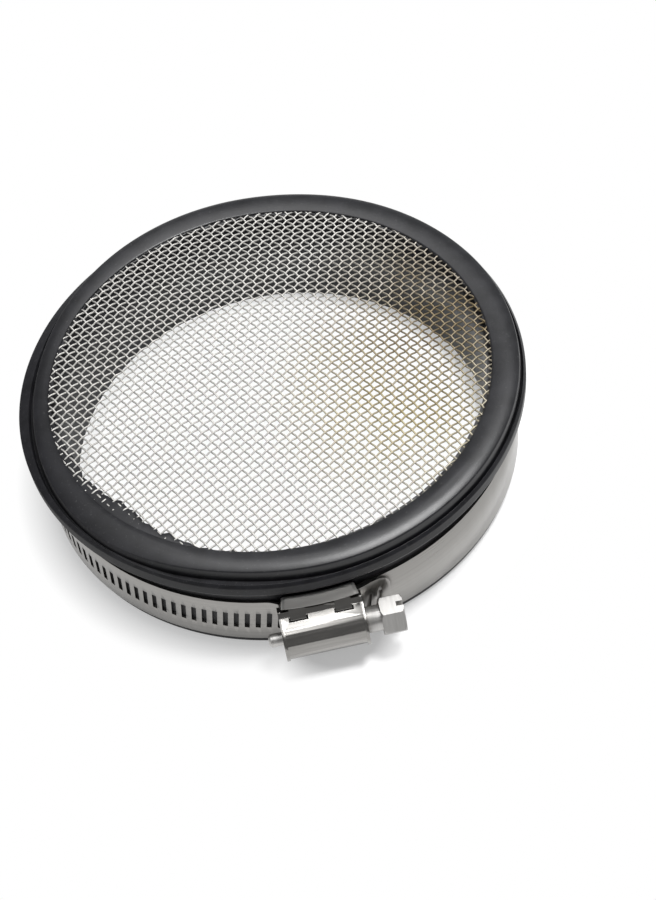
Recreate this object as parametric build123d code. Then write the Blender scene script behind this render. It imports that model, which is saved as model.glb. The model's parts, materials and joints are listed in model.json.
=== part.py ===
"""Turbo intake screen: a crowned wire screen moulded into a rubber collar with a worm-drive clamp.

The axis of the bore is Z and the collar's bottom face is z = 0. The clamp's screw lies along X
on the -Y side, with its head towards +X. Sizes are in millimetres and angles in degrees, and an
azimuth is counted from -Y towards +X.
"""

import math
import os

from build123d import *

# Collar
bore_r = 51.0
skirt_wall = 6.0
rim_z = 26.8
lip_overhang = 3.0
lip_face_height = 5.0
lip_slope_height = 2.4
lip_width = 1.1
groove_width = 1.2
groove_depth = 1.5
bead_width = 6.0
bead_rise = 2.4
bead_lap = 1.2
ledge_drop = 1.2
lip_top_radius = 0.8
bead_out_radius = 2.2
bead_in_radius = 1.6
round_steps = 2

# Wire screen
cloth_thickness = 0.9
cloth_crown = 2.5
cloth_edge_rise = 0.9
cloth_grip = 1.9
cloth_turn = 30.0
bar_pitch = 12.6
bar_width = 3.0
bar_thickness = 0.6
cloth_edge_width = 1.3
grip_gap = 0.15
edge_gap = 0.3

# Clamp strip
strip_width = 14.3
strip_thickness = 0.6
strip_z = 9.5
layer_gap = 0.05
tail_azimuth = 16.3
tail_corner_radius = 3.0
plain_end_azimuth = -6.0
step_angle = 4.6
step_clear_angle = 0.3
lead_angle = 5.2
slot_length = 5.6
slot_width = 1.15
slot_count = 38
slot_to_tip = 3.0

# Saddle plate
saddle_thickness = 0.6
saddle_length = 16.1
saddle_side_gap = 0.1
saddle_bend_bevel = 0.4
ear_width = 3.6
ear_spacing = 10.2
ear_tip_inset = 0.7
ear_tip_lift = 0.45

# Screw housing
housing_thickness = 0.8
foot_length = 18.6
foot_corner = 1.3
foot_edge_gap = 0.75
barrel_r = 4.9
barrel_length = 18.8
shoulder_angle = 75.0
shoulder_inset = 1.4
foot_bend_angle = 38.0
rim_flare = 0.35
rim_length = 0.7
window_side_gap = 0.35
window_outer_inset = 0.2
window_inner_inset = 1.25

# Worm screw
thread_pitch = 2.5
thread_depth = 0.6
thread_gap = 0.05
screw_standoff = 2.95
pilot_r = 1.5
pilot_end = 3.2
pilot_chamfer = 0.5
journal_r = 2.4
running_gap = 0.05
end_play = 0.15
shoulder_r = 2.95
shoulder_length = 3.2
hex_flats = 8.0
hex_length = 5.2
hex_chamfer = 0.45
driver_slot_width = 1.2
driver_slot_depth = 1.5

# Sizes that follow from those above
skirt_r = bore_r + skirt_wall
lip_r = skirt_r + lip_overhang
strip_on_collar_r = skirt_r + strip_thickness / 2
strip_on_saddle_r = strip_on_collar_r + saddle_thickness
strip_outer_r = strip_on_saddle_r + strip_thickness + layer_gap
foot_r = strip_outer_r + strip_thickness / 2 + layer_gap
screw_y = -(strip_outer_r + strip_thickness / 2 + screw_standoff)
thread_r = screw_standoff - thread_gap
cloth_r = bore_r + bead_lap + cloth_grip
cloth_edge_z = rim_z + cloth_edge_rise
dome_r = (cloth_r**2 + cloth_crown**2) / (2 * cloth_crown)
slot_step = math.degrees(thread_pitch / (strip_on_collar_r + strip_thickness / 2))
slot_lean = math.degrees(math.atan(thread_pitch / (2 * math.pi * (thread_r - thread_depth / 2))))
saddle_half_angle = math.degrees(math.asin(saddle_length / 2 / foot_r))
foot_half_angle = math.degrees(math.asin(foot_length / 2 / foot_r))
foot_half = strip_width / 2 + saddle_side_gap - foot_edge_gap


def polar(radius, azimuth):
    """Plan point at a radius and an azimuth."""
    turn = math.radians(azimuth)
    return (radius * math.sin(turn), -radius * math.cos(turn))


def tangent(azimuth):
    """Direction along a circle, towards a smaller azimuth."""
    turn = math.radians(azimuth)
    return (-math.cos(turn), -math.sin(turn))


def plan_arc(radius, azimuth_from, azimuth_to):
    """Arc about the collar's axis between two azimuths."""
    return CenterArc((0, 0), radius, azimuth_from - 90, azimuth_to - azimuth_from)


def plan_step(radius_from, azimuth_from, radius_to, azimuth_to):
    """Smooth step of the strip from one radius to another, towards a smaller azimuth."""
    ends = (polar(radius_from, azimuth_from), polar(radius_to, azimuth_to))
    return Spline(*ends, tangents=(tangent(azimuth_from), tangent(azimuth_to)))


def revolved(profile, half_angle=180.0):
    """Profile in the XZ plane turned about Z, centred on azimuth 0."""
    start = Rot(0, 0, -90 - half_angle) * profile
    return revolve(start, Axis.Z, 2 * half_angle)


def dome_z(radius):
    """Height of the cloth's lower face at a radius."""
    return cloth_edge_z + math.sqrt(dome_r**2 - radius**2) - (dome_r - cloth_crown)


def dome_profile(radius_in, radius_out, low, high):
    """Half section of a crowned layer between two heights above the cloth's lower face."""
    radius_mid = (radius_in + radius_out) / 2

    def arc(level):
        points = [(r, dome_z(r) + level) for r in (radius_in, radius_mid, radius_out)]
        return Plane.XZ * ThreePointArc(*points)

    lower = arc(low)
    upper = arc(high)
    sides = [Line(lower @ 0, upper @ 0), Line(lower @ 1, upper @ 1)]
    return make_face([lower, upper, *sides])


def in_chords(section):
    """The same section with each round corner drawn as a few chords."""
    points = []
    for edge in section.wire().order_edges():
        steps = 1 if edge.geom_type == GeomType.LINE else round_steps
        points += [edge @ (step / steps) for step in range(steps)]
    return make_face(Polyline(*points, close=True))


def rubber_collar():
    """Moulded ring: skirt, undercut lip, groove and the bead that holds the cloth's edge."""
    lip_low_z = rim_z - lip_face_height
    lip_in_r = lip_r - lip_width
    bead_out_r = lip_in_r - groove_width
    bead_in_r = bore_r + bead_lap
    bead_top_z = rim_z + bead_rise
    cloth_top_z = dome_z(bead_in_r) + cloth_thickness
    lip_top = (lip_r, rim_z)
    bead_out = (bead_out_r, bead_top_z)
    bead_in = (bead_in_r + bead_width / 4, bead_top_z)
    outline = Polyline(
        (bore_r, 0),
        (skirt_r, 0),
        (skirt_r, lip_low_z - lip_slope_height),
        (lip_r - lip_overhang / 4, lip_low_z),
        (lip_r, lip_low_z + lip_face_height / 4),
        lip_top,
        (lip_in_r, rim_z),
        ((lip_in_r + bead_out_r) / 2, rim_z - groove_depth),
        bead_out,
        bead_in,
        (bead_in_r, cloth_top_z),
        (bead_in_r, dome_z(bead_in_r)),
        (bore_r, dome_z(bore_r) - ledge_drop),
        close=True,
    )
    section = make_face(Plane.XZ * outline)
    rounding = {
        lip_top: lip_top_radius,
        bead_out: bead_out_radius,
        bead_in: bead_in_radius,
    }
    for (radius, height), size in rounding.items():
        corner = section.vertices().sort_by_distance((radius, 0, height))[0]
        section = fillet(corner, size)
    groove = dome_profile(bore_r, cloth_r + edge_gap, -grip_gap, cloth_thickness + grip_gap)
    return revolve(in_chords(section) - groove, Axis.Z)


def bar(row, level):
    """One ridge across the sheet, bent to the crown, at a distance from the middle."""
    place = (row + 0.5) * bar_pitch
    half = math.sqrt(cloth_r**2 - place**2)

    def arc(height):
        points = [(along, dome_z(math.hypot(along, place)) + height) for along in (-half, 0, half)]
        return Plane.XZ * ThreePointArc(*points)

    lower = arc(level)
    upper = arc(level + bar_thickness)
    sides = [Line(lower @ 0, upper @ 0), Line(lower @ 1, upper @ 1)]
    return Pos(0, place, 0) * extrude(make_face([lower, upper, *sides]), bar_width / 2, both=True)


def wire_screen():
    """Woven sheet: crossing ridges in two layers, joined at the edge that the bead grips."""
    count = int(cloth_r / bar_pitch - 0.5)
    rows = range(-count - 1, count + 1)
    weft = [Rot(0, 0, cloth_turn) * bar(row, 0) for row in rows]
    warp = [Rot(0, 0, cloth_turn + 90) * bar(row, cloth_thickness - bar_thickness) for row in rows]
    ring_r = cloth_r - cloth_edge_width
    ring = extrude(Circle(cloth_r) - Circle(ring_r), cloth_thickness)
    sheet = Pos(0, 0, dome_z(cloth_r)) * ring + [*weft, *warp]
    return sheet & extrude(Circle(cloth_r), 2 * rim_z)


def strip_outline(shift):
    """Plan line of the strip from its tail to its plain end, moved outward by a shift."""
    outer = strip_outer_r + shift
    outer_on_plain = strip_on_collar_r + strip_thickness + layer_gap + shift
    on_saddle = strip_on_saddle_r + shift
    on_collar = strip_on_collar_r + shift
    step_high = saddle_half_angle + step_clear_angle
    step_low = step_high + step_angle
    lead_high = plain_end_azimuth - step_clear_angle
    lead_low = lead_high - lead_angle
    return [
        plan_arc(outer_on_plain, tail_azimuth, step_low),
        plan_step(outer_on_plain, step_low, outer, step_high),
        plan_arc(outer, step_high, lead_high),
        plan_step(outer, lead_high, on_collar, lead_low),
        plan_arc(on_collar, lead_low, step_low - 360),
        plan_step(on_collar, step_low - 360, on_saddle, step_high - 360),
        plan_arc(on_saddle, step_high - 360, plain_end_azimuth - 360),
    ]


def through_strip(shape, azimuth, depth_from):
    """Cutter with a shape drawn on the strip at an azimuth, outward from a radius."""
    face = Plane(origin=(0, -depth_from, strip_z), x_dir=(1, 0, 0), z_dir=(0, -1, 0))
    return Rot(0, 0, azimuth) * extrude(face * shape, lip_r - depth_from)


def slot_cutter(azimuth):
    """Leaned slot through the slotted layer only."""
    half_gap = (strip_thickness + layer_gap) / 2
    if azimuth > saddle_half_angle:
        depth_from = strip_on_collar_r + half_gap
    elif azimuth > plain_end_azimuth - slot_step:
        depth_from = strip_on_saddle_r + half_gap
    else:
        depth_from = bore_r
    shape = Rot(0, 0, -slot_lean) * Rectangle(slot_width, slot_length)
    return through_strip(shape, azimuth, depth_from)


def tail_corners():
    """What comes off the tail's two corners."""
    size = tail_corner_radius
    tip = Rectangle(2 * size, strip_width + size) - Pos(-size, 0) * Rectangle(2 * size, strip_width)
    end = Pos(-size, 0) * Rectangle(2 * size, strip_width)
    rounded = fillet(end.vertices().group_by(Axis.X)[-1], size)
    depth_from = strip_on_collar_r + (strip_thickness + layer_gap) / 2
    return through_strip(tip + (end - rounded), tail_azimuth, depth_from)


def clamp_band():
    """Strip wrapped round the skirt, from its slotted tail to the plain end in the saddle."""
    inner = strip_outline(-strip_thickness / 2)
    outer = strip_outline(strip_thickness / 2)
    ends = [Line(inner[0] @ 0, outer[0] @ 0), Line(inner[-1] @ 1, outer[-1] @ 1)]
    strip = extrude(make_face([*inner, *outer, *ends]), strip_width)
    first = tail_azimuth - slot_to_tip
    slots = [slot_cutter(first - index * slot_step) for index in range(slot_count)]
    return Pos(0, 0, strip_z - strip_width / 2) * strip - [tail_corners(), *slots]


def saddle_profile():
    """Section of the plate: a web under the strip with both sides folded outward."""
    half = strip_width / 2 + saddle_side_gap + saddle_thickness
    reach = foot_r + housing_thickness - skirt_r
    middle = skirt_r + reach / 2
    block = Plane.XZ * Pos(middle, strip_z) * Rectangle(reach, 2 * half)
    hollow_reach = reach - saddle_thickness
    hollow_middle = skirt_r + saddle_thickness + hollow_reach / 2
    hollow = Plane.XZ * Pos(hollow_middle, strip_z) * Rectangle(hollow_reach, 2 * (half - saddle_thickness))
    bends = block.vertices().sort_by(Axis.X)[:2]
    return chamfer(bends, saddle_bend_bevel) - hollow


def ear(side):
    """One ear: from the folded side across the corner to the barrel's window."""
    fold = strip_width / 2 + saddle_side_gap + saddle_thickness / 2
    root = foot_r + housing_thickness - saddle_thickness
    bend = foot_r + housing_thickness - saddle_thickness / 2
    tip_y = -screw_y - ear_tip_inset
    tip_z = barrel_r + ear_tip_lift
    line = Polyline((root, fold), (bend, fold), (tip_y, tip_z))
    plate = offset(line, saddle_thickness / 2, kind=Kind.INTERSECTION, side=Side.BOTH)
    face = make_face(plate.edges())
    solid = extrude(face, ear_width / 2, both=True)
    placed = Plane(origin=(0, 0, strip_z), x_dir=(0, -1, 0), z_dir=(1, 0, 0)) * solid
    return placed if side > 0 else mirror(placed, Plane.XY.offset(strip_z))


def saddle_plate():
    """Plate under the strip with four ears that hold the housing."""
    plate = revolved(saddle_profile(), saddle_half_angle)
    ears = [
        Pos(place * ear_spacing / 2, 0, 0) * ear(side)
        for place in (-1, 1)
        for side in (-1, 1)
    ]
    return plate + ears


def across(section, length, start):
    """Bar on the screw's axis, from a place along X; the section's second direction is +Y."""
    return Pos(start, screw_y, strip_z) * Rot(0, 90, 0) * extrude(section, length)


def barrel_section(spread):
    """Section round the screw: flat shoulders and a bend down to the feet, moved outward by a spread."""
    turn = math.radians(shoulder_angle)
    half = barrel_r * math.sin(turn)
    outward = barrel_r * math.cos(turn)
    shoulder_half = half + (outward + shoulder_inset) / math.tan(turn)
    foot_inset = shoulder_inset + (foot_half - shoulder_half) * math.tan(math.radians(foot_bend_angle))
    right = [
        (half, -outward),
        (shoulder_half, shoulder_inset),
        (foot_half, foot_inset),
        (foot_half, -screw_y - skirt_r),
    ]
    left = [(-place, inset) for place, inset in reversed(right)]
    return offset(Circle(barrel_r) + Polygon(*right, *left, align=None), spread)


def window(place, side):
    """Opening in the barrel's shoulder for the end of one ear."""
    span = window_inner_inset - window_outer_inset
    middle = screw_y + (window_inner_inset + window_outer_inset) / 2
    width = ear_width + 2 * window_side_gap
    height = 3 * housing_thickness
    return Pos(place, middle, strip_z + side * barrel_r) * Box(width, span, height)


def screw_housing():
    """Stamped barrel with two feet on the strip, bearing walls at its ends and flared rims."""
    start = -barrel_length / 2
    foot_face = Plane.XZ * Pos(foot_r + housing_thickness / 2, strip_z)
    feet = revolved(foot_face * Rectangle(housing_thickness, 2 * foot_half), foot_half_angle)
    corners = [
        edge
        for edge in feet.edges()
        if edge.length < 1.01 * housing_thickness
    ]
    feet = chamfer(corners, foot_corner)
    rims = [
        across(barrel_section(rim_flare), rim_length, place)
        for place in (start, -start - rim_length)
    ]
    room_length = barrel_length - 2 * housing_thickness
    room = across(barrel_section(-housing_thickness), room_length, start + housing_thickness)
    shell = across(barrel_section(0), barrel_length, start) + rims - room + feet
    worm_way = across(Circle(barrel_r - housing_thickness), room_length, start + housing_thickness)
    pilot_hole = across(Circle(pilot_r + running_gap), barrel_length, start)
    journal_hole = across(Circle(journal_r + running_gap), barrel_length, 0)
    strip_side = extrude(Circle(foot_r), rim_z)
    windows = [
        window(place * ear_spacing / 2, side)
        for place in (-1, 1)
        for side in (-1, 1)
    ]
    return shell - [worm_way, pilot_hole, journal_hole, strip_side, *windows]


def worm_screw():
    """Pilot, worm core, journal, shoulder and slotted hexagon head on one axis along X."""
    inside = barrel_length / 2 - housing_thickness - end_play
    outside = barrel_length / 2 + end_play
    head = outside + shoulder_length
    root_r = thread_r - thread_depth
    core = Pos(0, 0, -inside) * extrude(Circle(root_r), 2 * inside)
    pilot_length = barrel_length / 2 + pilot_end - inside
    pilot = Pos(0, 0, -inside - pilot_length) * extrude(Circle(pilot_r), pilot_length)
    pilot = chamfer(pilot.edges().sort_by(Axis.Z)[0], pilot_chamfer)
    journal = Pos(0, 0, inside) * extrude(Circle(journal_r), outside - inside)
    shoulder = Pos(0, 0, outside) * extrude(Circle(shoulder_r), shoulder_length)
    hexagon = extrude(RegularPolygon(hex_flats / 2, 6, major_radius=False, rotation=30), hex_length)
    cone_r = hex_flats / math.sqrt(3)
    turned = chamfer(extrude(Circle(cone_r), hex_length).edges(), hex_chamfer)
    slot = Pos(0, 0, hex_length) * Box(3 * cone_r, driver_slot_width, 2 * driver_slot_depth)
    head_solid = Pos(0, 0, head) * ((hexagon & turned) - slot)
    screw = core + [pilot, journal, shoulder, head_solid]
    return Pos(0, screw_y, strip_z) * Rot(0, 90, 0) * screw


pieces = {
    "rubber_collar": rubber_collar,
    "wire_screen": wire_screen,
    "clamp_band": clamp_band,
    "saddle_plate": saddle_plate,
    "screw_housing": screw_housing,
    "worm_screw": worm_screw,
}

os.makedirs("parts", exist_ok=True)
for name, make in pieces.items():
    export_step(make(), f"parts/{name}.step")
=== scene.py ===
"""Looks of the turbo intake screen: woven wire, moulded rubber and a worm-drive clamp."""

import json
import math

import bpy
from mathutils import Matrix, Vector, noise


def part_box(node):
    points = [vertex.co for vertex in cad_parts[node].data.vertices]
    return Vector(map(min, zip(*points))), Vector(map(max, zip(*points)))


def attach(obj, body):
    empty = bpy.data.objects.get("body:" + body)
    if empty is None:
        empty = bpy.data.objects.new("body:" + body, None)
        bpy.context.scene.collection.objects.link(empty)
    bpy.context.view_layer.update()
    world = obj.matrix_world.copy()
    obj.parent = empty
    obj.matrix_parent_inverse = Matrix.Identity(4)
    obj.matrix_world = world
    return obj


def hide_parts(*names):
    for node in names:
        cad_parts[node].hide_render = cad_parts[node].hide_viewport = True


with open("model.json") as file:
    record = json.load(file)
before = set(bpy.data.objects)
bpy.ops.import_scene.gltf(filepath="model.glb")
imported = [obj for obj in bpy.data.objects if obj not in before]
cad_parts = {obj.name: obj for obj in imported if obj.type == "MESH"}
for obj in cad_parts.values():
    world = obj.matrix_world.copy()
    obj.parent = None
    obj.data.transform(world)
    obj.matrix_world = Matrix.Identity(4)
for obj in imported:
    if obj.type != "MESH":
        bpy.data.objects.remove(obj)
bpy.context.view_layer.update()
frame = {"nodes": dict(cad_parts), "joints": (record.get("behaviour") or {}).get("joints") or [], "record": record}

MM = 0.001
WHITE = (1, 1, 1, 1)

# Sizes from the frame, in millimetres
COLLAR_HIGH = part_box("rubber_collar")[1] / MM
SCREEN_LOW, SCREEN_HIGH = (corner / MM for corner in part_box("wire_screen"))
BORE_MOUNT = next(m for m in frame["record"]["mounts"] if m["name"] == "inlet_bore")
SCREW_JOINT = next(j for j in frame["joints"] if j["name"] == "screw_turn")
BORE_R = BORE_MOUNT["dims"]["r_mm"]
LIP_R = COLLAR_HIGH.x
BEAD_TOP_Z = COLLAR_HIGH.z
CLOTH_R = SCREEN_HIGH.x
CLOTH_EDGE_Z = SCREEN_LOW.z
CLOTH_TOP_Z = SCREEN_HIGH.z
STRIP_TOP_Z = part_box("clamp_band")[1].z / MM
SCREW_Y = SCREW_JOINT["pos_m"][1] / MM
SCREW_Z = SCREW_JOINT["pos_m"][2] / MM

# Collar's section, in millimetres
SKIRT_R = BORE_R + 6.0
RIM_Z = BEAD_TOP_Z - 2.4
LIP_LOW_Z = RIM_Z - 5.0
LIP_IN_R = LIP_R - 0.6
GROOVE_R = LIP_IN_R - 0.35
SHOULDER_R = GROOVE_R - 0.75
CREST_R = BORE_R + 4.9
BEAD_IN_R = BORE_R + 1.2
UNDERCUT_HEIGHT = 2.4
LIP_FOOT_INSET = 0.75
LIP_FOOT_RISE = 1.25
LIP_SHOULDER_DROP = 1.3
LIP_INNER_DROP = 0.45
GROOVE_DEPTH = 1.7
GROOVE_FLOOR_WIDTH = 0.1
GROOVE_TOP_WIDTH = 0.3
GROOVE_TOP_RISE = 0.9
BORE_TOP_DROP = 1.2

# Rounding of the collar's corners, in millimetres
SKIRT_FOOT_BEND = 0.6
UNDERCUT_BEND = 1.2
LIP_FOOT_BEND = 0.8
LIP_SIDE_BEND = 1.0
LIP_SHOULDER_BEND = 0.6
LIP_INNER_BEND = 0.07
GROOVE_OUTER_BEND = 0.12
GROOVE_INNER_BEND = 0.04

# Grip of the bead on the cloth's edge, in millimetres
BEAD_SINK = 0.05
GRIP_LIP = 0.15
GRIP_DEPTH = 0.4

# Collar's bead: bends in millimetres, angles in degrees and steps along each part
SHOULDER_BEND = 0.6
SHOULDER_ANGLE = 80
CROWN_ANGLE = 25
SHOULDER_STEPS = 6
CROWN_STEPS = 6
SLOPE_STEPS = 8
CORNER_STEPS = 6
COLLAR_COLUMNS = 360

# Places round the ring where the moulding differs: azimuth from the clamp towards the right
# and half-width, in degrees
WORN_FRONT = (-48, 32)
LEFT_SIDE = (-105, 65)
BACK_SIDE = (190, 90)
FRONT_SIDE = (-18, 34)
RIGHT_SIDE = (100, 40)
WIDE_BEAD = (25, 55)
COVERED_CLOTH = (-44, 34)

# How much the moulding differs there, in millimetres, degrees or as a share
BEAD_WIDENING = 0.45
LEFT_INSET = 2.1
GROOVE_WIDENING = 0.9
GROOVE_FAINTNESS = 0.6
GROOVE_FILL = 1.2
WORN_SHOULDER_RISE = 0.7
WORN_LIP_RISE = 0.5
WORN_CREST_SHIFT = 2.0
WORN_SHOULDER_ANGLE = 40
BACK_CREST_SHIFT = 0.4
CREST_PER_INSET = 0.7
SWAY = 0.12
SWAY_FADE_HEIGHT = 6

# Noise round the ring: cycles and layer
SWAY_NOISE = (2.2, 4.0)
FLASH_RUN_NOISE = (9, 1.5)
FLASH_CELL_NOISE = (26, 7.5)

# Flash of rubber over the cloth, in millimetres; each spot is a width and a place round the ring
FLASH_SPOTS = ((3.8, (-52, 36)), (0.9, (-95, 50)), (0.6, (180, 60)))
FLASH_LEAST = 0.02
FLASH_MEAN = 0.12
FLASH_RUN = 0.8
FLASH_RUN_SWING = 0.3
FLASH_RAGGED = 0.8
FLASH_RAGGED_BY_WIDTH = 0.05
FLASH_COLUMNS = 1440

# Section of the flash: how far out it roots, where its back bends as a share of its width, its
# heights over the cloth's middle, and how far it climbs where it covers the wires
FLASH_ROOT = 0.8
FLASH_EDGE_SHARE = 0.1
FLASH_BACK_SHARE = 0.7
FLASH_ROOT_RISE = 0.1
FLASH_EDGE_RISE = 0.08
FLASH_BACK_RISE = 0.02
FLASH_TIP_RISE = -0.05
FLASH_LOW_RISE = -0.3
FLASH_CLIMB = 0.38
FLASH_BACK_CLIMB = 0.95

# Wire cloth: sizes in millimetres and turn in degrees
WIRE_D = 0.43
WIRE_PITCH = 25.4 / 14
WIRE_END_GAP = 0.6
OUTER_WIRE_GAP = 1
CLOTH_TURN = 30.0
WIRE_SIDES = 8
WIRE_STEPS = 4
CLOTH_CROWN = CLOTH_TOP_Z - CLOTH_EDGE_Z - 2 * WIRE_D
DOME_R = (CLOTH_R**2 + CLOTH_CROWN**2) / (2 * CLOTH_CROWN)

# Worm's thread: sizes in millimetres, turns, and steps in a turn and in each run-out
THREAD_PITCH = 2.5
THREAD_ROOT_R = 2.25
THREAD_CREST_R = 2.9
THREAD_ROOT_HALF = 0.65
THREAD_CREST_HALF = 0.3
THREAD_TURNS = 6
THREAD_STEPS = 32
THREAD_FADE_STEPS = 12

# Saddle's rolled edge: corners out from the skirt and up from the strip's top edge with their
# rounding, in millimetres; start and sweep in degrees
FOLD_SECTION = (
    (0.3, 0.6, 0),
    (0.45, 1.7, 0.2),
    (0.9, 2.2, 0.2),
    (1.5, 1.95, 0.12),
    (3.35, 0.75, 0.2),
    (3.2, 0.6, 0),
)
FOLD_BASE_RISE = 0.6
FOLD_START = -8.1
FOLD_SWEEP = 16.6
FOLD_COLUMNS = 40
FOLD_END_COLUMNS = 3
FOLD_END_DROP = 0.7

# Softened edges of the stamped and turned pieces, in millimetres and degrees
EDGE_BEND = 0.12
EDGE_STEPS = 2
EDGE_ANGLE = 40
WELD_GAP = 0.001

# Linear colours
RUBBER_DARK = (0.006, 0.006, 0.007, 1)
RUBBER_PALE = (0.011, 0.011, 0.013, 1)
RUBBER_DUST = (0.09, 0.09, 0.09, 1)
WIRE_CLEAN = (0.405, 0.395, 0.375, 1)
WIRE_BROWN = (0.145, 0.11, 0.06, 1)
WIRE_STRAW = (0.285, 0.24, 0.115, 1)
SHEET_TONE = (0.355, 0.345, 0.33, 1)
# Lighter copy of the sheet's tone on the saddle's rolled edge: a painted highlight on its ridge
FOLD_HIGHLIGHT_TONE = (0.56, 0.55, 0.53, 1)
SCREW_TONE = (0.59, 0.58, 0.565, 1)
FLOOR_TONE = (0.9, 0.9, 0.9, 1)
SKY_TONE = (0.96, 0.98, 1, 1)

# Stains on the cloth: middle, reach at full strength and reach at none, in millimetres
BROWN_STAIN = ((46, 6, 29), 12, 40)
STRAW_STAIN = ((29, -17, 29), 8, 34)

# Noise in the materials: scale, detail and roughness
RUBBER_PATCHES = (0.2, 5, 0.6)
RUBBER_GRAIN = (2.6, 3, 0.6)
RUBBER_SPECKS = (1.4, 5, 0.7)
STEEL_STREAKS = (1.0, 4, 0.65)
STEEL_SMEARS = (1.0, 3, 0.5)
WIRE_BLOTCHES = (0.09, 4, 0.6)
WIRE_FINISH = (3.0, 2, 0.5)

# Rubber: a range of noise, or of a coordinate in millimetres, and the values at its two ends
PALE_PATCHES = (0.35, 0.65, 0, 1)
DUST_SPECKS = (0.6, 0.78, 0, 1)
DUST_STRENGTH = (0, 1, 0, 0.5)
SATIN_ROUGHNESS = (0.3, 0.7, 0.28, 0.35)
LEFT_ROUGHNESS = (-50, 0, 0.25, 0)
LEFT_SHINE = (-57, -20, 0.12, 0.5)
LIP_SIDE_SHINE = (25.8, 27.2, 0.2, 0.5)
GRAIN_STRENGTH = 0.18
GRAIN_DEPTH = 0.1 * MM

# Steel: the same, with the dark streaks' share of the colour and the swing of the roughness
STREAK_TINT = (0.3, 0.7, 0, 1)
STREAK_SHADE = 0.82
STREAK_DEPTH = 0.05 * MM
SMEAR_SCALE = (60, 60, 60)
FINISH_NOISE = (0.6, 1.4)
FINISH_SMOOTHER = 0.05
FINISH_ROUGHER = 0.07

# Wire: the same, with how metallic it looks
BLOTCH_STRENGTH = (0.3, 0.6, 0.55, 1)
WIRE_ROUGHNESS = (0.3, 0.7, 0.42, 0.55)
WIRE_METALLIC = 0.45

# Camera: place in millimetres, angles in degrees, focal length in pixels of the photograph, sensor
# in millimetres and nearest sight in metres
CAMERA_PLACE = (-2.72, -278.05, 340.0)
CAMERA_YAW = 2.73
CAMERA_PITCH = 51.17
CAMERA_ROLL = -9.94
FOCAL_PIXELS = 1780.4
FRAME_HEIGHT = 900
SENSOR = 36.0
NEAREST_SEEN = 0.01

SKY_FILL = 0.35

# Floor, in millimetres
FLOOR_HALF = 20000
FLOOR_DROP = 0.02

# Floor's glow, which paints light over the floor inside the bore and paints the shade's reach near the ring and
# the clamp: near and far, in metres from the middle or the clamp, and the values there
BORE_PAINTED_LIGHT = (0.046, 0.052, 1, 0)
OUTER_PAINTED_SHADE = (0.058, 0.067, 0.4, 1)
CLAMP_PAINTED_SHADE = (0.010, 0.018, 0.3, 1)
CLAMP_SPOT = (0.003, -0.056, 0)

# Lights overhead: name, width, depth, power and place, in metres and watts
SOFTBOXES = (
    ("tent_top", 1.1, 0.72, 3.0, (0, 0.19, 0.8)),
    ("key", 0.26, 0.22, 9.5, (0.23, 0.01, 0.8)),
)

# Cards that only reflections see: name, tone and corners in millimetres
CARDS = (
    (
        "front_flag",
        0.2,
        [(-1500, -1200, 0), (1500, -1200, 0), (1500, -200, 1100), (-1500, -200, 1100)],
    ),
    ("front_card", 2.0, [(-200, -330, 652), (320, -330, 652), (320, -190, 698), (-200, -190, 698)]),
    ("back_card", 2.8, [(-250, 280, 790), (260, 280, 790), (260, 580, 790), (-250, 580, 790)]),
)


# Objects and meshes


def link(thing):
    """Object put into the scene."""
    bpy.context.scene.collection.objects.link(thing)
    return thing


def add_piece(name, mesh, body, material):
    """Object for a mesh in metres, riding on a body."""
    piece = link(bpy.data.objects.new(name, mesh))
    mesh.materials.append(material)
    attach(piece, body)
    return piece


def mesh_from(name, points, faces, smooth=True):
    """Mesh from points in millimetres and faces."""
    mesh = bpy.data.meshes.new(name)
    mesh.from_pydata([tuple(MM * c for c in p) for p in points], [], faces)
    mesh.polygons.foreach_set("use_smooth", [smooth] * len(mesh.polygons))
    mesh.update()
    return mesh


def skin_faces(columns, rows, closed=False, first=0):
    """Quads between neighbouring outlines, each of so many points."""
    faces = []
    for c in range(columns if closed else columns - 1):
        here = first + c * rows
        ahead = first + (c + 1) % columns * rows
        for k in range(rows):
            j = (k + 1) % rows
            faces.append((here + k, here + j, ahead + j, ahead + k))
    return faces


def cap_faces(columns, rows, first=0):
    """Faces that close the first and the last outline."""
    last = first + (columns - 1) * rows
    return [tuple(first + k for k in reversed(range(rows))), tuple(last + k for k in range(rows))]


def soften(target):
    """Rolled edges on a stamped or turned piece, so that they catch the light."""
    weld = target.modifiers.new("weld", "WELD")
    weld.merge_threshold = WELD_GAP * MM
    bevel = target.modifiers.new("bevel", "BEVEL")
    bevel.width = EDGE_BEND * MM
    bevel.segments = EDGE_STEPS
    bevel.limit_method = "ANGLE"
    bevel.angle_limit = math.radians(EDGE_ANGLE)
    bevel.harden_normals = True


# Node helpers


def new_material(name):
    """Material with an empty node tree and its output."""
    material = bpy.data.materials.new(name)
    material.use_nodes = True
    tree = material.node_tree
    tree.nodes.clear()
    return material, tree, tree.nodes.new("ShaderNodeOutputMaterial")


def set_input(tree, socket, value):
    """Input linked to a socket or set to a value."""
    if isinstance(value, bpy.types.NodeSocket):
        tree.links.new(value, socket)
    else:
        socket.default_value = value


def add_node(tree, kind, settings=None, **inputs):
    """Node of a kind, with its inputs given by name, or by number as i0, i1 and so on."""
    node = tree.nodes.new(kind)
    for key, value in (settings or {}).items():
        setattr(node, key, value)
    for key, value in inputs.items():
        numbered = key[0] == "i" and key[1:].isdigit()
        socket = node.inputs[int(key[1:])] if numbered else node.inputs[key.replace("_", " ")]
        set_input(tree, socket, value)
    return node


def math_of(tree, operation, a, b):
    """Result of a sum on two values."""
    return add_node(tree, "ShaderNodeMath", {"operation": operation}, i0=a, i1=b).outputs[0]


def scaled(tree, scale):
    """Object coordinates times a scale."""
    place = add_node(tree, "ShaderNodeTexCoord").outputs["Object"]
    return add_node(tree, "ShaderNodeMapping", Vector=place, Scale=scale).outputs["Vector"]


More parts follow.
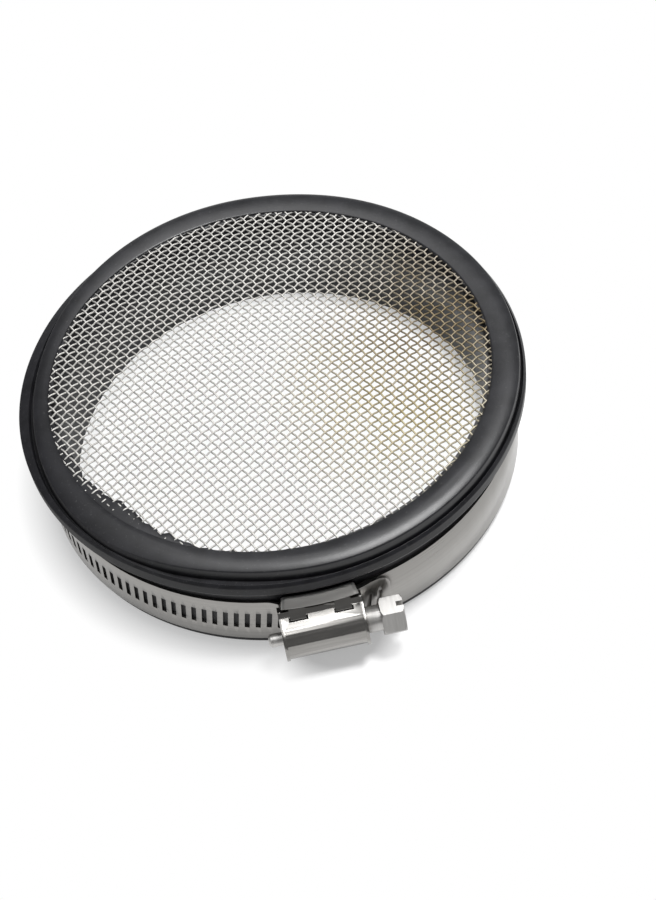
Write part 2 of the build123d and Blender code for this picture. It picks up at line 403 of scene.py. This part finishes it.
def in_millimetres(tree):
    """Object coordinates in millimetres."""
    return scaled(tree, (1 / MM, 1 / MM, 1 / MM))


def noise_of(tree, vector, scale, detail, roughness):
    """Noise value at a vector."""
    node = add_node(
        tree, "ShaderNodeTexNoise", Vector=vector, Scale=scale, Detail=detail, Roughness=roughness
    )
    return node.outputs["Fac"]


def ranged(tree, value, low, high, to_low, to_high):
    """Value mapped from one range to another and held inside it."""
    node = add_node(tree, "ShaderNodeMapRange", Value=value, i1=low, i2=high, i3=to_low, i4=to_high)
    return node.outputs["Result"]


def mixed(tree, factor, a, b):
    """Colour mixed from a to b."""
    node = add_node(tree, "ShaderNodeMix", {"data_type": "RGBA"}, i0=factor, i6=a, i7=b)
    return node.outputs[2]


def blended(tree, factor, a, b):
    """Shader mixed from a to b."""
    node = add_node(tree, "ShaderNodeMixShader", i0=factor, i1=a.outputs[0], i2=b.outputs[0])
    return node.outputs[0]


# Materials


def rubber_material():
    """Moulded black rubber: satin, faintly grained and a little dusty."""
    material, tree, output = new_material("rubber")
    place = in_millimetres(tree)
    patches = noise_of(tree, place, *RUBBER_PATCHES)
    grain = noise_of(tree, place, *RUBBER_GRAIN)
    dust = ranged(tree, noise_of(tree, place, *RUBBER_SPECKS), *DUST_SPECKS)
    base = mixed(tree, ranged(tree, patches, *PALE_PATCHES), RUBBER_DARK, RUBBER_PALE)
    colour = mixed(tree, ranged(tree, dust, *DUST_STRENGTH), base, RUBBER_DUST)

    # Duller at the left and on the lip's side
    parts = add_node(tree, "ShaderNodeSeparateXYZ", Vector=place).outputs
    left_roughness = ranged(tree, parts["X"], *LEFT_ROUGHNESS)
    left_shine = ranged(tree, parts["X"], *LEFT_SHINE)
    side_shine = ranged(tree, parts["Z"], *LIP_SIDE_SHINE)
    shine = math_of(tree, "MINIMUM", left_shine, side_shine)
    satin = ranged(tree, patches, *SATIN_ROUGHNESS)
    rough = math_of(tree, "ADD", satin, left_roughness)

    bump = add_node(
        tree, "ShaderNodeBump", Height=grain, Strength=GRAIN_STRENGTH, Distance=GRAIN_DEPTH
    )
    shader = add_node(
        tree,
        "ShaderNodeBsdfPrincipled",
        Base_Color=colour,
        Roughness=rough,
        Specular_IOR_Level=shine,
        Normal=bump.outputs["Normal"],
    )
    tree.links.new(shader.outputs[0], output.inputs["Surface"])
    return material


def steel_material(name, colour, rough, streak_scale, streak_strength):
    """Stainless steel with fine streaks; the streaks run where the scale is small."""
    material, tree, output = new_material(name)
    streaks = noise_of(tree, scaled(tree, streak_scale), *STEEL_STREAKS)
    smears = noise_of(tree, scaled(tree, SMEAR_SCALE), *STEEL_SMEARS)
    dark = tuple(STREAK_SHADE * c for c in colour[:3]) + (1,)
    tint = mixed(tree, ranged(tree, streaks, *STREAK_TINT), dark, colour)
    finish = math_of(tree, "ADD", streaks, smears)
    smoothest, roughest = rough - FINISH_SMOOTHER, rough + FINISH_ROUGHER
    roughness = ranged(tree, finish, *FINISH_NOISE, smoothest, roughest)
    bump = add_node(
        tree, "ShaderNodeBump", Height=streaks, Strength=streak_strength, Distance=STREAK_DEPTH
    )
    shader = add_node(
        tree,
        "ShaderNodeBsdfPrincipled",
        Base_Color=tint,
        Roughness=roughness,
        Normal=bump.outputs["Normal"],
        Metallic=1.0,
    )
    tree.links.new(shader.outputs[0], output.inputs["Surface"])
    return material


def stain_of(tree, place, stain):
    """1 in the middle of a stain, falling to 0 at its reach."""
    centre, near, far = stain
    away = add_node(tree, "ShaderNodeVectorMath", {"operation": "DISTANCE"}, i0=place, i1=centre)
    return ranged(tree, away.outputs["Value"], near, far, 1, 0)


def wire_material():
    """Drawn stainless wire, stained brown towards the right and yellowish in front of that."""
    material, tree, output = new_material("wire")
    place = in_millimetres(tree)
    blotch = ranged(tree, noise_of(tree, place, *WIRE_BLOTCHES), *BLOTCH_STRENGTH)
    brown = math_of(tree, "MULTIPLY", stain_of(tree, place, BROWN_STAIN), blotch)
    straw = math_of(tree, "MULTIPLY", stain_of(tree, place, STRAW_STAIN), blotch)
    tint = mixed(tree, brown, mixed(tree, straw, WIRE_CLEAN, WIRE_STRAW), WIRE_BROWN)
    rough = ranged(tree, noise_of(tree, place, *WIRE_FINISH), *WIRE_ROUGHNESS)
    shader = add_node(
        tree, "ShaderNodeBsdfPrincipled", Base_Color=tint, Roughness=rough, Metallic=WIRE_METALLIC
    )
    tree.links.new(shader.outputs[0], output.inputs["Surface"])
    return material


# Pieces


def corner_arc(before, corner, after, radius, steps):
    """Points of a round corner between two straight sides."""
    a = (Vector(before) - Vector(corner)).normalized()
    b = (Vector(after) - Vector(corner)).normalized()
    half = a.angle(b) / 2
    middle = Vector(corner) + (a + b).normalized() * (radius / math.sin(half))
    start = Vector(corner) + a * (radius / math.tan(half))
    end = Vector(corner) + b * (radius / math.tan(half))
    from_angle = math.atan2(*(start - middle).yx)
    sweep = math.atan2(*(end - middle).yx) - from_angle
    sweep = (sweep + math.pi) % (2 * math.pi) - math.pi
    angles = [from_angle + sweep * k / steps for k in range(steps + 1)]
    return [middle + radius * Vector((math.cos(t), math.sin(t))) for t in angles]


def rounded_loop(corners):
    """Closed outline from (radius, height, rounding) corners."""
    points = []
    count = len(corners)
    for k, (r, z, rounding) in enumerate(corners):
        before, after = corners[k - 1][:2], corners[(k + 1) % count][:2]
        if rounding:
            points += corner_arc(before, (r, z), after, rounding, CORNER_STEPS)
        else:
            points.append(Vector((r, z)))
    return points


def on_ring(r, turn, z):
    """Point at a radius, a turn from the x axis and a height."""
    return (r * math.cos(turn), r * math.sin(turn), z)


def azimuth_of(turn):
    """Degrees from the clamp towards the right, for a turn from the x axis."""
    return math.degrees(turn) + 90


def dome_z(radius):
    """Height of the cloth's lower face at a radius."""
    return CLOTH_EDGE_Z + math.sqrt(DOME_R**2 - radius**2) - (DOME_R - CLOTH_CROWN)


def bump_at(azimuth, place):
    """1 in the middle of a place on the ring, falling smoothly to 0 at its half-width."""
    centre, half_width = place
    away = abs((azimuth - centre + 180) % 360 - 180) / half_width
    return 0.0 if away >= 1 else 0.5 + 0.5 * math.cos(math.pi * away)


def noise_round(turn, kind):
    """Smooth noise round the ring, finer with more cycles."""
    cycles, layer = kind
    return noise.noise(Vector((cycles * math.cos(turn), cycles * math.sin(turn), layer)))


def bead_in_r(azimuth):
    """Radius of the bead's inner edge, a little wider at the front right."""
    return BEAD_IN_R + BEAD_WIDENING * bump_at(azimuth, WIDE_BEAD)


def bead_curve(in_r, low_z, worn, inset, back):
    """Bead's back: a tight shoulder, a broad crown and the slope down to the cloth."""
    crest_r = CREST_R - WORN_CREST_SHIFT * worn - CREST_PER_INSET * inset + BACK_CREST_SHIFT * back
    crown = math.radians(CROWN_ANGLE)
    crown_r = (SHOULDER_R - inset - crest_r) / math.sin(crown)
    shoulder = Vector((SHOULDER_R - inset, BEAD_TOP_Z - crown_r * (1 - math.cos(crown))))
    middle = shoulder - SHOULDER_BEND * Vector((math.sin(crown), math.cos(crown)))
    steep = math.radians(SHOULDER_ANGLE - WORN_SHOULDER_ANGLE * worn)
    points = []
    for k in range(SHOULDER_STEPS + 1):
        turn = steep + (crown - steep) * k / SHOULDER_STEPS
        points.append(middle + SHOULDER_BEND * Vector((math.sin(turn), math.cos(turn))))
    for k in range(1, CROWN_STEPS + 1):
        turn = crown * (1 - k / CROWN_STEPS)
        z = BEAD_TOP_Z - crown_r * (1 - math.cos(turn))
        points.append(Vector((crest_r + crown_r * math.sin(turn), z)))
    for k in range(1, SLOPE_STEPS + 1):
        part = k / SLOPE_STEPS
        z = BEAD_TOP_Z - (BEAD_TOP_Z - low_z) * part**2
        points.append(Vector((crest_r + (in_r - crest_r) * part, z)))
    return points


def collar_section(azimuth):
    """Collar's outline at an azimuth; the moulded groove is crisp in places and faint in others."""
    in_r = bead_in_r(azimuth)
    ledge = dome_z(in_r)
    grip = 2 * WIRE_D
    worn = bump_at(azimuth, WORN_FRONT)
    left = bump_at(azimuth, LEFT_SIDE)
    back = bump_at(azimuth, BACK_SIDE)
    front = bump_at(azimuth, FRONT_SIDE)
    right = bump_at(azimuth, RIGHT_SIDE)
    faint = max(worn, GROOVE_FAINTNESS * front, GROOVE_FAINTNESS * right)
    inset = LEFT_INSET * left
    widening = GROOVE_WIDENING * max(left, front)
    groove_z = RIM_Z - GROOVE_DEPTH + GROOVE_FILL * faint
    under = rounded_loop([
        (BORE_R, 0, 0),
        (SKIRT_R, 0, SKIRT_FOOT_BEND),
        (SKIRT_R, LIP_LOW_Z - UNDERCUT_HEIGHT, UNDERCUT_BEND),
        (LIP_R - LIP_FOOT_INSET, LIP_LOW_Z, LIP_FOOT_BEND),
        (LIP_R, LIP_LOW_Z + LIP_FOOT_RISE, LIP_SIDE_BEND),
        (LIP_R, RIM_Z - LIP_SHOULDER_DROP + WORN_SHOULDER_RISE * worn, LIP_SHOULDER_BEND),
        (LIP_IN_R - inset, RIM_Z - LIP_INNER_DROP + WORN_LIP_RISE * worn, LIP_INNER_BEND),
        (GROOVE_R - inset, groove_z, GROOVE_OUTER_BEND),
        (GROOVE_R - GROOVE_FLOOR_WIDTH - widening - inset, groove_z, GROOVE_INNER_BEND),
        (GROOVE_R - GROOVE_TOP_WIDTH - widening - inset, RIM_Z + GROOVE_TOP_RISE, 0),
    ])
    inside = [
        Vector((in_r, ledge + grip - GRIP_LIP)),
        Vector((in_r + GRIP_DEPTH, ledge + grip / 2)),
        Vector((in_r, ledge)),
        Vector((BORE_R, dome_z(BORE_R) - BORE_TOP_DROP)),
    ]
    bead = bead_curve(in_r, ledge + grip - BEAD_SINK, worn, inset + widening, back)
    return under[:-1] + bead + inside


def collar_mesh():
    """Collar's section turned about the axis, a little uneven as moulded rubber is."""
    points = []
    for c in range(COLLAR_COLUMNS):
        turn = 2 * math.pi * c / COLLAR_COLUMNS
        sway = SWAY * noise_round(turn, SWAY_NOISE)
        section = collar_section(azimuth_of(turn))
        for p in section:
            lift = max(0.0, min(1.0, (p.y - LIP_LOW_Z) / SWAY_FADE_HEIGHT))
            r = min(LIP_R, p.x + sway * lift)
            z = min(BEAD_TOP_Z, p.y + sway * lift)
            points.append(on_ring(r, turn, z))
    inward = skin_faces(COLLAR_COLUMNS, len(section), closed=True)
    return mesh_from("rubber_ring", points, [(a, d, c, b) for a, b, c, d in inward])


def flash_width(azimuth, turn):
    """How far the thin flash of rubber runs over the cloth, in millimetres."""
    wide = sum(width * bump_at(azimuth, place) for width, place in FLASH_SPOTS)
    run = wide * (FLASH_RUN + FLASH_RUN_SWING * noise_round(turn, FLASH_RUN_NOISE))
    ragged = FLASH_RAGGED + FLASH_RAGGED_BY_WIDTH * wide
    return max(FLASH_LEAST, FLASH_MEAN + run + ragged * noise_round(turn, FLASH_CELL_NOISE))


def flash_mesh():
    """Thin ragged flash of rubber that ran into the cells of the cloth beside the bead."""
    points = []
    for c in range(FLASH_COLUMNS):
        turn = 2 * math.pi * c / FLASH_COLUMNS
        azimuth = azimuth_of(turn)
        edge = bead_in_r(azimuth)
        width = flash_width(azimuth, turn)
        inner = edge - width
        outer = edge + FLASH_ROOT
        climb = FLASH_CLIMB * bump_at(azimuth, COVERED_CLOTH)
        section = (
            (outer, FLASH_ROOT_RISE + climb),
            (edge - FLASH_EDGE_SHARE * min(1, width), FLASH_EDGE_RISE + climb),
            (edge - FLASH_BACK_SHARE * width, FLASH_BACK_RISE + FLASH_BACK_CLIMB * climb),
            (inner, FLASH_TIP_RISE),
            (inner, FLASH_LOW_RISE),
            (outer, FLASH_LOW_RISE),
        )
        for r, rise in section:
            points.append(on_ring(r, turn, dome_z(r) + WIRE_D + rise))
    faces = skin_faces(FLASH_COLUMNS, len(section), closed=True)
    return mesh_from("rubber_flash", points, faces)


def thread_mesh():
    """Worm's right-hand thread about the screw's axis, run out to nothing at both ends."""
    last = THREAD_TURNS * THREAD_STEPS
    points = []
    for k in range(last + 1):
        turn = 2 * math.pi * k / THREAD_STEPS
        fade = min(1.0, k / THREAD_FADE_STEPS, (last - k) / THREAD_FADE_STEPS)
        crest_r = THREAD_ROOT_R + (THREAD_CREST_R - THREAD_ROOT_R) * fade
        middle = THREAD_PITCH * (k / THREAD_STEPS - THREAD_TURNS / 2)
        section = (
            (THREAD_ROOT_R, -THREAD_ROOT_HALF),
            (crest_r, -THREAD_CREST_HALF),
            (crest_r, THREAD_CREST_HALF),
            (THREAD_ROOT_R, THREAD_ROOT_HALF),
        )
        for r, along in section:
            y = SCREW_Y + r * math.cos(turn)
            z = SCREW_Z + r * math.sin(turn)
            points.append((middle + along, y, z))
    return mesh_from("worm_thread", points, skin_faces(last + 1, len(section)), smooth=False)


def fold_mesh():
    """Rolled upper edge of the saddle: a rounded ridge and a sloped roof over the strip's edge."""
    section = rounded_loop([(SKIRT_R + r, STRIP_TOP_Z + z, bend) for r, z, bend in FOLD_SECTION])
    points = []
    for c in range(FOLD_COLUMNS + 1):
        azimuth = math.radians(FOLD_START + FOLD_SWEEP * c / FOLD_COLUMNS)
        end = min(1.0, c / FOLD_END_COLUMNS, (FOLD_COLUMNS - c) / FOLD_END_COLUMNS)
        drop = 1.0 - math.sqrt(1.0 - (1.0 - end) ** 2)
        for p in section:
            rise = max(0.0, p.y - STRIP_TOP_Z - FOLD_BASE_RISE)
            z = p.y - FOLD_END_DROP * drop * rise
            points.append((p.x * math.sin(azimuth), -p.x * math.cos(azimuth), z))
    sides = skin_faces(FOLD_COLUMNS + 1, len(section))
    return mesh_from("saddle_fold", points, sides + cap_faces(FOLD_COLUMNS + 1, len(section)))


def wire_points(place, turn, flip):
    """Centre line of one wire: bent to the crown and waved over and under its neighbours."""
    half = math.sqrt((CLOTH_R - WIRE_END_GAP) ** 2 - place**2)
    first = math.ceil(-half / WIRE_PITCH * WIRE_STEPS)
    last = math.floor(half / WIRE_PITCH * WIRE_STEPS)
    points = []
    for k in range(first, last + 1):
        along = k * WIRE_PITCH / WIRE_STEPS
        wave = math.cos(math.pi * along / WIRE_PITCH) * WIRE_D / 2 * flip
        z = dome_z(math.hypot(along, place)) + WIRE_D + wave
        x = along * math.cos(turn) - place * math.sin(turn)
        y = along * math.sin(turn) + place * math.cos(turn)
        points.append((x, y, z))
    return points


def wires_mesh(name, turn_degrees, sign):
    """All the wires that run one way, as round bars."""
    turn = math.radians(turn_degrees)
    count = int((CLOTH_R - OUTER_WIRE_GAP) / WIRE_PITCH)
    ring = [2 * math.pi * (s + 0.5) / WIRE_SIDES for s in range(WIRE_SIDES)]
    side = Vector((-math.sin(turn), math.cos(turn), 0))
    points, faces = [], []
    for row in range(-count, count + 1):
        flip = sign * (1 if row % 2 == 0 else -1)
        line = [Vector(p) for p in wire_points(row * WIRE_PITCH, turn, flip)]
        first = len(points)
        for k, p in enumerate(line):
            ahead = line[min(k + 1, len(line) - 1)] - line[max(k - 1, 0)]
            up = ahead.cross(side).normalized() * -1
            for t in ring:
                points.append(p + (side * math.cos(t) + up * math.sin(t)) * (WIRE_D / 2))
        faces += skin_faces(len(line), WIRE_SIDES, first=first)
        faces += cap_faces(len(line), WIRE_SIDES, first)
    return mesh_from(name, points, faces)


# Stage


def aim(place, yaw, pitch, roll):
    """Camera matrix from a place and angles."""
    yaw, pitch, roll = (math.radians(a) for a in (yaw, pitch, roll))
    level_part = math.cos(pitch)
    ahead = Vector((math.sin(yaw) * level_part, math.cos(yaw) * level_part, -math.sin(pitch)))
    level = Vector((math.cos(yaw), -math.sin(yaw), 0))
    upright = level.cross(ahead)
    right = math.cos(roll) * level + math.sin(roll) * upright
    up = -math.sin(roll) * level + math.cos(roll) * upright
    matrix = Matrix((right, up, -ahead)).transposed().to_4x4()
    matrix.translation = Vector(place) * MM
    return matrix


def make_camera():
    """Camera where the photograph was taken from."""
    data = bpy.data.cameras.new("camera")
    data.sensor_width = SENSOR
    data.lens = FOCAL_PIXELS / FRAME_HEIGHT * SENSOR
    data.clip_start = NEAREST_SEEN
    camera = link(bpy.data.objects.new("camera", data))
    camera.matrix_world = aim(CAMERA_PLACE, CAMERA_YAW, CAMERA_PITCH, CAMERA_ROLL)
    bpy.context.scene.camera = camera


def ray_is(tree, *kinds):
    """1 on rays of any of these kinds."""
    rays = add_node(tree, "ShaderNodeLightPath").outputs
    found = rays[kinds[0]]
    for kind in kinds[1:]:
        found = math_of(tree, "MAXIMUM", found, rays[kind])
    return found


def make_world():
    """White to look at, and a soft even light on the object."""
    world = bpy.data.worlds.new("world")
    bpy.context.scene.world = world
    world.use_nodes = True
    tree = world.node_tree
    tree.nodes.clear()
    fill = add_node(tree, "ShaderNodeBackground", Color=SKY_TONE, Strength=SKY_FILL)
    white = add_node(tree, "ShaderNodeBackground", Color=WHITE, Strength=1.0)
    direct = ray_is(tree, "Is Camera Ray", "Is Transmission Ray")
    output = add_node(tree, "ShaderNodeOutputWorld")
    tree.links.new(blended(tree, direct, fill, white), output.inputs["Surface"])


def make_floor():
    """Pale floor that keeps the object's shadow only near the ring and the clamp: its white glow on camera, glossy
    and transmission rays is painted light inside the bore and further out, and is weaker near the ring and the
    clamp, which paints where the shade shows.
    """
    material, tree, output = new_material("floor")
    matt = add_node(tree, "ShaderNodeBsdfDiffuse", Color=FLOOR_TONE)
    glow = add_node(tree, "ShaderNodeEmission", Color=WHITE, Strength=1.0)
    place = add_node(tree, "ShaderNodeNewGeometry").outputs["Position"]
    from_middle = add_node(tree, "ShaderNodeVectorMath", {"operation": "LENGTH"}, i0=place)
    from_clamp = add_node(
        tree, "ShaderNodeVectorMath", {"operation": "DISTANCE"}, i0=place, i1=CLAMP_SPOT
    )
    # Painted light inside the bore; painted shade near the ring and the clamp, where less glow lets the floor's
    # shading through
    inside = ranged(tree, from_middle.outputs["Value"], *BORE_PAINTED_LIGHT)
    outside = ranged(tree, from_middle.outputs["Value"], *OUTER_PAINTED_SHADE)
    clear = ranged(tree, from_clamp.outputs["Value"], *CLAMP_PAINTED_SHADE)
    painted_light_and_shade = math_of(tree, "MAXIMUM", inside, math_of(tree, "MINIMUM", outside, clear))
    direct = ray_is(tree, "Is Camera Ray", "Is Glossy Ray", "Is Transmission Ray")
    part = math_of(tree, "MULTIPLY", direct, painted_light_and_shade)
    tree.links.new(blended(tree, part, matt, glow), output.inputs["Surface"])
    half = FLOOR_HALF
    corners = [(-half, -half, 0), (half, -half, 0), (half, half, 0), (-half, half, 0)]
    mesh = mesh_from("floor", corners, [(0, 1, 2, 3)])
    mesh.materials.append(material)
    floor = link(bpy.data.objects.new("floor", mesh))
    floor.location.z = -FLOOR_DROP * MM


def make_softbox(name, width, depth, power, place):
    """Soft light overhead, facing down."""
    data = bpy.data.lights.new(name, "AREA")
    data.shape = "RECTANGLE"
    data.size = width
    data.size_y = depth
    data.energy = power
    lamp = link(bpy.data.objects.new(name, data))
    lamp.location = place


def make_card(name, tone, corners):
    """Card that only reflections see, as a studio uses to shape the shine of metal."""
    material, tree, output = new_material(name)
    light = add_node(tree, "ShaderNodeEmission", Color=WHITE, Strength=tone)
    tree.links.new(light.outputs[0], output.inputs["Surface"])
    mesh = mesh_from(name, corners, [(0, 1, 2, 3)])
    mesh.materials.append(material)
    flag = link(bpy.data.objects.new(name, mesh))
    flag.visible_camera = False
    flag.visible_diffuse = False
    flag.visible_shadow = False
    flag.visible_transmission = False


make_camera()
make_world()
make_floor()
for softbox in SOFTBOXES:
    make_softbox(*softbox)
for card in CARDS:
    make_card(*card)

rubber = rubber_material()
wire = wire_material()
band_steel = steel_material(
    "band_steel", SHEET_TONE, rough=0.3, streak_scale=(25, 25, 2600), streak_strength=0.12
)
clamp_steel = steel_material(
    "clamp_steel", SHEET_TONE, rough=0.19, streak_scale=(80, 900, 900), streak_strength=0.05
)
# The clamp's steel in a lighter tone on the saddle's rolled edge: a painted highlight
fold_highlight_steel = steel_material(
    "fold_highlight_steel", FOLD_HIGHLIGHT_TONE, rough=0.33, streak_scale=(80, 900, 900), streak_strength=0.05
)
screw_steel = steel_material(
    "screw_steel", SCREW_TONE, rough=0.42, streak_scale=(1500, 150, 150), streak_strength=0.05
)

collar = add_piece("rubber_ring", collar_mesh(), "collar", rubber)
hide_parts("rubber_collar")
add_piece("rubber_flash", flash_mesh(), "collar", rubber)
add_piece("saddle_fold", fold_mesh(), "collar", fold_highlight_steel)
add_piece("worm_thread", thread_mesh(), "screw", screw_steel)
warp_mesh = wires_mesh("warp_wires", CLOTH_TURN, 1)
warp = add_piece("warp_wires", warp_mesh, "collar", wire)
weft_mesh = wires_mesh("weft_wires", CLOTH_TURN + 90, -1)
weft = add_piece("weft_wires", weft_mesh, "collar", wire)
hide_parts("wire_screen")
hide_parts("wire_screen")

for node, material in (
    ("clamp_band", band_steel),
    ("saddle_plate", clamp_steel),
    ("screw_housing", clamp_steel),
    ("worm_screw", screw_steel),
):
    target = frame["nodes"][node]
    target.data.materials.clear()
    target.data.materials.append(material)
    soften(target)

scene = bpy.context.scene
scene.view_settings.view_transform = "Standard"
